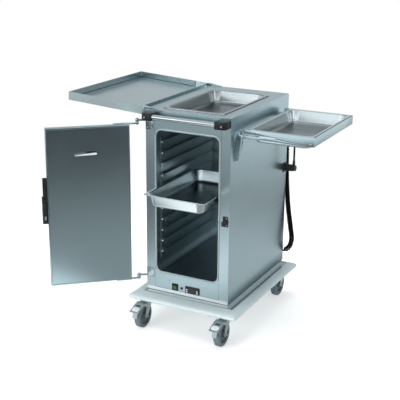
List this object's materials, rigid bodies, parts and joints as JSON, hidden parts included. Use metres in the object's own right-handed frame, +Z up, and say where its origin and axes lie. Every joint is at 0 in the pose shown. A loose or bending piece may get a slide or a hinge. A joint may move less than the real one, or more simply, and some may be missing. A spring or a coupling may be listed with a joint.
{
  "type": "hot cupboard",
  "caption": "Heated stainless serving trolley on castors with a pan cabinet behind a hinged door, a heated well with a fold-over lid, a folding side pan holder and a curly mains cord.",
  "frame": {"origin": "on the floor under the middle of the cabinet", "axes": "+X to the right seen from the front, +Y to the back, +Z up"},
  "size_m": [1.2714, 1.0706, 1.1494],
  "materials": {
    "stainless_panel": "brushed stainless sheet with a soft sheen",
    "stainless_door": "smooth bright stainless sheet",
    "stainless_liner": "stainless sheet in shade",
    "pan_steel": "bright pressed stainless",
    "hardware_steel": "folded stainless with a fine grain",
    "polished_steel": "polished",
    "zinc": "zinc plated",
    "black_plastic": "black moulded plastic",
    "bumper_plastic": "pale grey moulded plastic",
    "seal_rubber": "pale silicone",
    "cord_rubber": "black cord sheath",
    "wheel_rubber": "grey rubber tyre",
    "switch_green": "lit green plastic",
    "lamp_red": "dark red lens of an unlit lamp",
    "key_white": "white plastic",
    "wool": "mineral wool",
    "heater_foil": "silicone heater mat"
  },
  "bodies": {
    "cabinet": {"base_platform": "stainless_panel", "bumper": "bumper_plastic", "plinth": "stainless_panel", "castor_plates": "zinc", "outer_shell": "stainless_panel", "front_frame": "stainless_panel", "top_plate": "stainless_panel", "well_tub": "stainless_panel", "inner_liner": "stainless_liner", "runners": "stainless_liner", "insulation": "wool", "heater_pads": "heater_foil", "control_panel": "stainless_panel", "front_screws": "polished_steel", "switch_bezel": "black_plastic", "pilot_lamp": "lamp_red", "thermostat": "black_plastic", "keeper": "black_plastic", "opening_seal": "seal_rubber", "hinge_plates": "hardware_steel", "lid_cheeks": "hardware_steel", "lid_pins": "polished_steel", "handle_tube": "polished_steel", "handle_brackets": "black_plastic", "side_gussets": "hardware_steel", "cable_gland": "black_plastic", "parking_socket": "black_plastic", "plug": "black_plastic", "curly_cord": "cord_rubber", "cord_hook": "hardware_steel"},
    "door": {"hinge_leaves": "hardware_steel", "hinge_pins": "polished_steel", "door_skin": "stainless_door", "door_panel": "stainless_door", "door_insulation": "wool", "latch_body": "black_plastic", "vent_boss": "black_plastic"},
    "latch_lever": {"latch_lever": "black_plastic"},
    "latch_bolt": {"latch_bolt": "polished_steel"},
    "vent_lever": {"vent_lever": "hardware_steel"},
    "inner_pan": {"inner_pan": "pan_steel"},
    "top_pan": {"top_pan": "pan_steel"},
    "side_pan": {"side_pan": "pan_steel"},
    "lid": {"lid": "stainless_door"},
    "side_holder": {"side_holder": "hardware_steel"},
    "rocker_switch": {"rocker_switch": "switch_green"},
    "thermostat_key_1": {"thermostat_key_1": "key_white"},
    "thermostat_key_2": {"thermostat_key_2": "key_white"},
    "thermostat_key_3": {"thermostat_key_3": "key_white"},
    "thermostat_key_4": {"thermostat_key_4": "key_white"},
    "castor_fork_fl": {"castor_fork_fl": "zinc"},
    "castor_fork_fr": {"castor_fork_fr": "zinc"},
    "castor_fork_rl": {"castor_fork_rl": "zinc"},
    "castor_fork_rr": {"castor_fork_rr": "zinc"},
    "castor_wheel_fl": {"castor_wheel_fl": "wheel_rubber"},
    "castor_wheel_fr": {"castor_wheel_fr": "wheel_rubber"},
    "castor_wheel_rl": {"castor_wheel_rl": "wheel_rubber"},
    "castor_wheel_rr": {"castor_wheel_rr": "wheel_rubber"},
    "brake_pedal_left": {"brake_pedal_left": "zinc"},
    "brake_pedal_right": {"brake_pedal_right": "zinc"}
  },
  "joints": [
    {"name": "door_hinge", "type": "hinge", "parent": "cabinet", "child": "door", "pos_m": [-0.258, -0.37, 0.645], "axis": [0, 0, -1], "range_deg": [-138, 120]},
    {"name": "inner_pan_slide", "type": "slide", "parent": "cabinet", "child": "inner_pan", "axis": [0, -1, 0], "range_m": [-0.1941, 0.1688]},
    {"name": "latch_lever_pivot", "type": "hinge", "parent": "door", "child": "latch_lever", "pos_m": [-0.60015, -0.64309, 0.69], "axis": [-0.7431, -0.6691, 0], "range_deg": [0, 35], "stiffness_Nm_per_rad": 0.5, "springref_deg": -20.05},
    {"name": "latch_bolt_slide", "type": "slide", "parent": "door", "child": "latch_bolt", "axis": [0.7431, 0.6691, 0], "range_m": [0, 0.0051]},
    {"name": "vent_lever_pivot", "type": "hinge", "parent": "door", "child": "vent_lever", "pos_m": [-0.39979, -0.52189, 0.91], "axis": [0.6691, -0.7431, 0], "range_deg": [0, 45]},
    {"name": "lid_hinge", "type": "hinge", "parent": "cabinet", "child": "lid", "pos_m": [-0.235, 0, 1.116], "axis": [0, -1, 0], "range_deg": [-176.3, 0]},
    {"name": "top_pan_lift", "type": "slide", "parent": "cabinet", "child": "top_pan", "axis": [0, 0, 1], "range_m": [0, 0.2]},
    {"name": "side_holder_fold", "type": "hinge", "parent": "cabinet", "child": "side_holder", "pos_m": [0.2515, -0.018, 1.0156], "axis": [0, -1, 0], "range_deg": [-90, 0]},
    {"name": "side_pan_lift", "type": "slide", "parent": "side_holder", "child": "side_pan", "axis": [0, 0, 1], "range_m": [0, 0.2]},
    {"name": "rocker_tilt", "type": "hinge", "parent": "cabinet", "child": "rocker_switch", "pos_m": [-0.065, -0.339, 0.227], "axis": [1, 0, 0], "range_deg": [-14, 0]},
    {"name": "thermostat_key_1_press", "type": "slide", "parent": "cabinet", "child": "thermostat_key_1", "axis": [0, 1, 0], "range_m": [0, 0.0012], "stiffness_N_per_m": 300, "springref_m": -0.001},
    {"name": "thermostat_key_2_press", "type": "slide", "parent": "cabinet", "child": "thermostat_key_2", "axis": [0, 1, 0], "range_m": [0, 0.0012], "stiffness_N_per_m": 300, "springref_m": -0.001},
    {"name": "thermostat_key_3_press", "type": "slide", "parent": "cabinet", "child": "thermostat_key_3", "axis": [0, 1, 0], "range_m": [0, 0.0012], "stiffness_N_per_m": 300, "springref_m": -0.001},
    {"name": "thermostat_key_4_press", "type": "slide", "parent": "cabinet", "child": "thermostat_key_4", "axis": [0, 1, 0], "range_m": [0, 0.0012], "stiffness_N_per_m": 300, "springref_m": -0.001},
    {"name": "castor_swivel_fl", "type": "hinge", "parent": "cabinet", "child": "castor_fork_fl", "pos_m": [-0.22, -0.363, 0.14], "axis": [0, 0, 1], "continuous": true},
    {"name": "castor_roll_fl", "type": "hinge", "parent": "castor_fork_fl", "child": "castor_wheel_fl", "pos_m": [-0.22, -0.398, 0.0625], "axis": [1, 0, 0], "continuous": true},
    {"name": "castor_swivel_fr", "type": "hinge", "parent": "cabinet", "child": "castor_fork_fr", "pos_m": [0.22, -0.363, 0.14], "axis": [0, 0, 1], "continuous": true},
    {"name": "castor_roll_fr", "type": "hinge", "parent": "castor_fork_fr", "child": "castor_wheel_fr", "pos_m": [0.22, -0.398, 0.0625], "axis": [1, 0, 0], "continuous": true},
    {"name": "castor_swivel_rl", "type": "hinge", "parent": "cabinet", "child": "castor_fork_rl", "pos_m": [-0.22, 0.331, 0.14], "axis": [0, 0, 1], "continuous": true},
    {"name": "castor_roll_rl", "type": "hinge", "parent": "castor_fork_rl", "child": "castor_wheel_rl", "pos_m": [-0.22, 0.296, 0.0625], "axis": [1, 0, 0], "continuous": true},
    {"name": "castor_swivel_rr", "type": "hinge", "parent": "cabinet", "child": "castor_fork_rr", "pos_m": [0.22, 0.331, 0.14], "axis": [0, 0, 1], "continuous": true},
    {"name": "castor_roll_rr", "type": "hinge", "parent": "castor_fork_rr", "child": "castor_wheel_rr", "pos_m": [0.22, 0.296, 0.0625], "axis": [1, 0, 0], "continuous": true},
    {"name": "brake_pedal_left_tilt", "type": "hinge", "parent": "castor_fork_fl", "child": "brake_pedal_left", "pos_m": [-0.22, -0.39, 0.1085], "axis": [1, 0, 0], "range_deg": [0, 12]},
    {"name": "brake_pedal_right_tilt", "type": "hinge", "parent": "castor_fork_fr", "child": "brake_pedal_right", "pos_m": [0.22, -0.39, 0.1085], "axis": [1, 0, 0], "range_deg": [0, 12]}
  ],
  "couplings": [
    {"joint": "inner_pan_slide", "follows": "door_hinge", "m_per_rad": 0.080546},
    {"joint": "latch_bolt_slide", "follows": "latch_lever_pivot", "m_per_rad": 0.008185}
  ]
}
